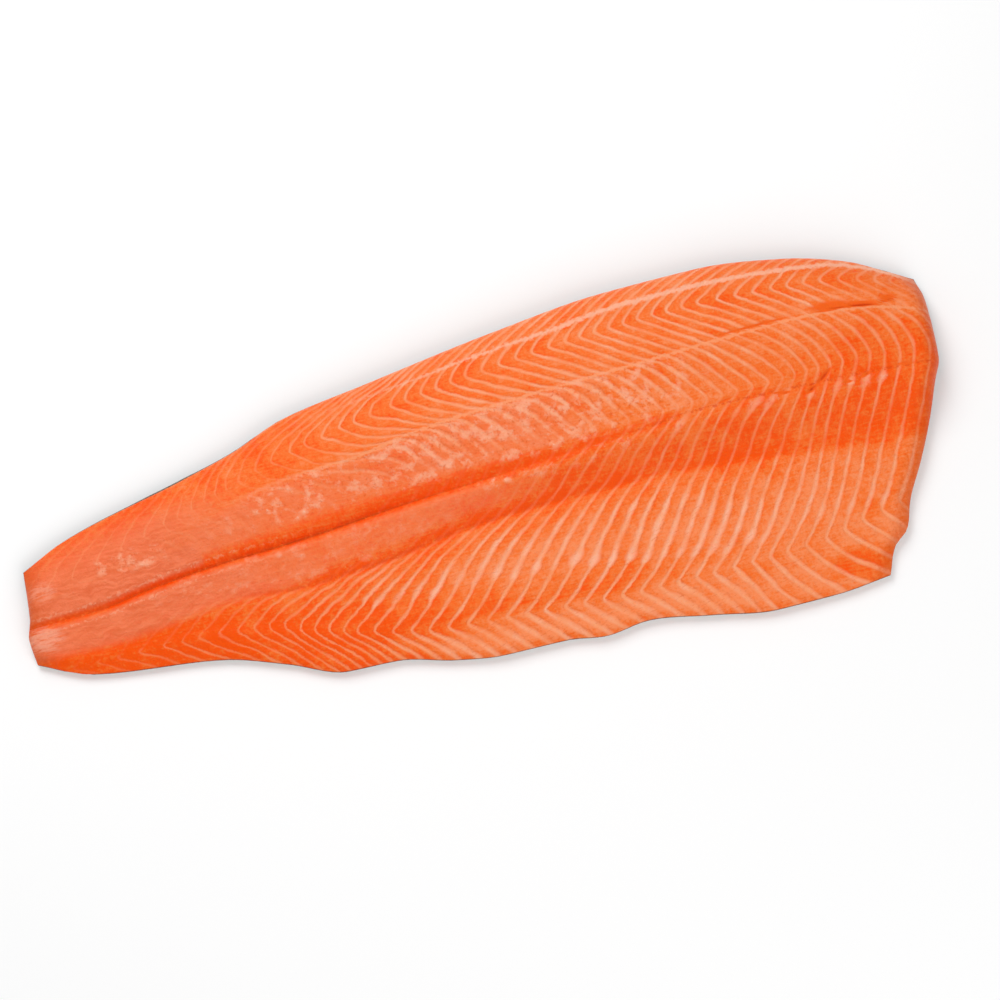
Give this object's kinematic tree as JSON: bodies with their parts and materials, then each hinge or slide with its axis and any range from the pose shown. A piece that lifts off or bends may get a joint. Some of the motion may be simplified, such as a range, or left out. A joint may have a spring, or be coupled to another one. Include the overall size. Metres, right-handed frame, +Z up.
{
  "type": "raw salmon fillet",
  "caption": "Whole raw salmon side lying skin down, with a thick loin, a centre groove, a thin belly flap and ribbed flakes.",
  "frame": {"origin": "centre of the bounding box's bottom, on the surface that the skin rests on", "axes": "+X from the tail to the head end, +Y from the belly edge to the back edge, +Z up out of the flesh side"},
  "size_m": [0.57, 0.2138, 0.0329],
  "materials": {
    "flesh": "moist raw flesh, soft gloss"
  },
  "bodies": {
    "root": {"fillet": "flesh"}
  },
  "joints": []
}
